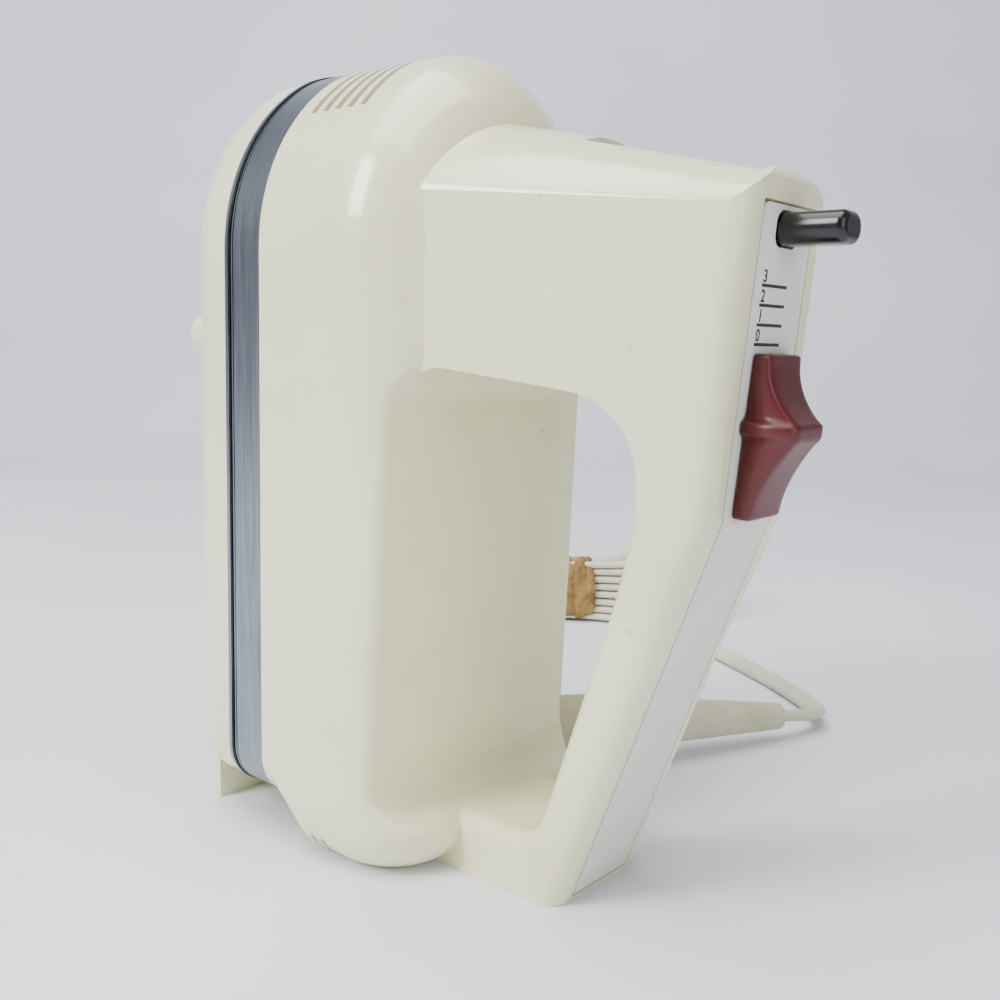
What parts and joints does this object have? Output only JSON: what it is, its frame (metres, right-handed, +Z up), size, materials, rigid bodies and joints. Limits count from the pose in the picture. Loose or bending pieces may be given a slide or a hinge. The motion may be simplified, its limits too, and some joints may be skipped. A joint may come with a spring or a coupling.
{
  "type": "hand mixer",
  "caption": "Hand mixer stood on its heel, with a D-shaped handle, thumb speed slider, beater ejector, trim band and a tied-up power cord.",
  "frame": {"origin": "on the table plane under the body, in the lengthwise mid-plane, where the mixer stands on its heel; x = 0 lies 31 mm in from the handle-side face of the body", "axes": "+Z up from the heel to the nose along the motor shaft, +X from the beater side to the handle, Y across the width"},
  "size_m": [0.3034, 0.283, 0.1957],
  "materials": {
    "cream_abs": "glossy injection-moulded ABS, cream",
    "strip_abs": "fine satin moulded ABS, off-white",
    "brushed_aluminium": "brushed anodised strip with a polished bead",
    "red_abs": "moulded ABS, deep red",
    "black_phenolic": "black moulded plastic",
    "die_cast_zinc": "die-cast, tumbled",
    "steel": "turned steel",
    "plated_screw": "zinc-plated screw",
    "lamination_steel": "stamped laminations",
    "enamelled_copper": "enamelled copper windings",
    "copper": "turned copper bars",
    "sintered_bronze": "oil-soaked sintered bronze",
    "brass": "drawn brass",
    "carbon": "pressed carbon",
    "nylon": "moulded nylon",
    "spring_steel": "drawn spring wire",
    "board": "phenolic board",
    "cord_pvc": "extruded PVC, aged white",
    "relief_pvc": "moulded PVC, aged cream",
    "tie_rubber": "tan rubber"
  },
  "bodies": {
    "housing": {"upper_housing": "cream_abs", "lower_housing": "cream_abs", "trim_band": "brushed_aluminium", "handle_strip": "strip_abs", "gear_frame": "die_cast_zinc", "frame_screws": "plated_screw", "housing_screws": "plated_screw", "lower_spindle_bushes": "sintered_bronze", "upper_spindle_bushes": "sintered_bronze", "nose_bearing": "sintered_bronze", "middle_bearing": "sintered_bronze", "heel_bearing": "sintered_bronze", "motor_bridge": "die_cast_zinc", "stator_core": "lamination_steel", "field_coil_left": "enamelled_copper", "field_coil_right": "enamelled_copper", "brush_holder_left": "brass", "brush_holder_right": "brass", "carbon_brush_left": "carbon", "carbon_brush_right": "carbon", "eject_spring": "spring_steel", "control_board": "board", "speed_control": "black_phenolic", "cord_collar": "relief_pvc", "strain_relief": "relief_pvc", "power_cord": "cord_pvc", "cord_hank": "cord_pvc", "cord_tie": "tie_rubber", "cord_tail": "cord_pvc", "plug_body": "cord_pvc", "plug_blades": "brass"},
    "armature": {"motor_shaft": "steel", "armature_core": "lamination_steel", "armature_windings": "enamelled_copper", "commutator": "copper", "cooling_fan": "nylon"},
    "left_drive": {"spindle_left": "steel", "worm_gear_left": "nylon"},
    "right_drive": {"spindle_right": "steel", "worm_gear_right": "nylon"},
    "ejector": {"eject_plunger": "black_phenolic", "eject_plate": "nylon"},
    "speed_slider": {"speed_knob": "red_abs", "slider_carriage": "brass"}
  },
  "joints": [
    {"name": "armature_spin", "type": "hinge", "parent": "housing", "child": "armature", "pos_m": [-0.015, 0, 0.1], "axis": [0, 0, 1], "continuous": true},
    {"name": "left_spindle_spin", "type": "hinge", "parent": "housing", "child": "left_drive", "pos_m": [-0.015, -0.0195, 0.151], "axis": [1, 0, 0], "continuous": true},
    {"name": "right_spindle_spin", "type": "hinge", "parent": "housing", "child": "right_drive", "pos_m": [-0.015, 0.0195, 0.151], "axis": [1, 0, 0], "continuous": true},
    {"name": "eject_press", "type": "slide", "parent": "housing", "child": "ejector", "axis": [-1, 0, 0], "range_m": [0, 0.007], "stiffness_N_per_m": 400, "springref_m": -0.004, "deforming": ["eject_spring"]},
    {"name": "speed_slide", "type": "slide", "parent": "housing", "child": "speed_slider", "axis": [0.0851, 0, 0.9964], "range_m": [0, 0.0114]}
  ],
  "couplings": [
    {"joint": "left_spindle_spin", "follows": "armature_spin", "ratio": -0.041667},
    {"joint": "right_spindle_spin", "follows": "armature_spin", "ratio": 0.041667}
  ]
}
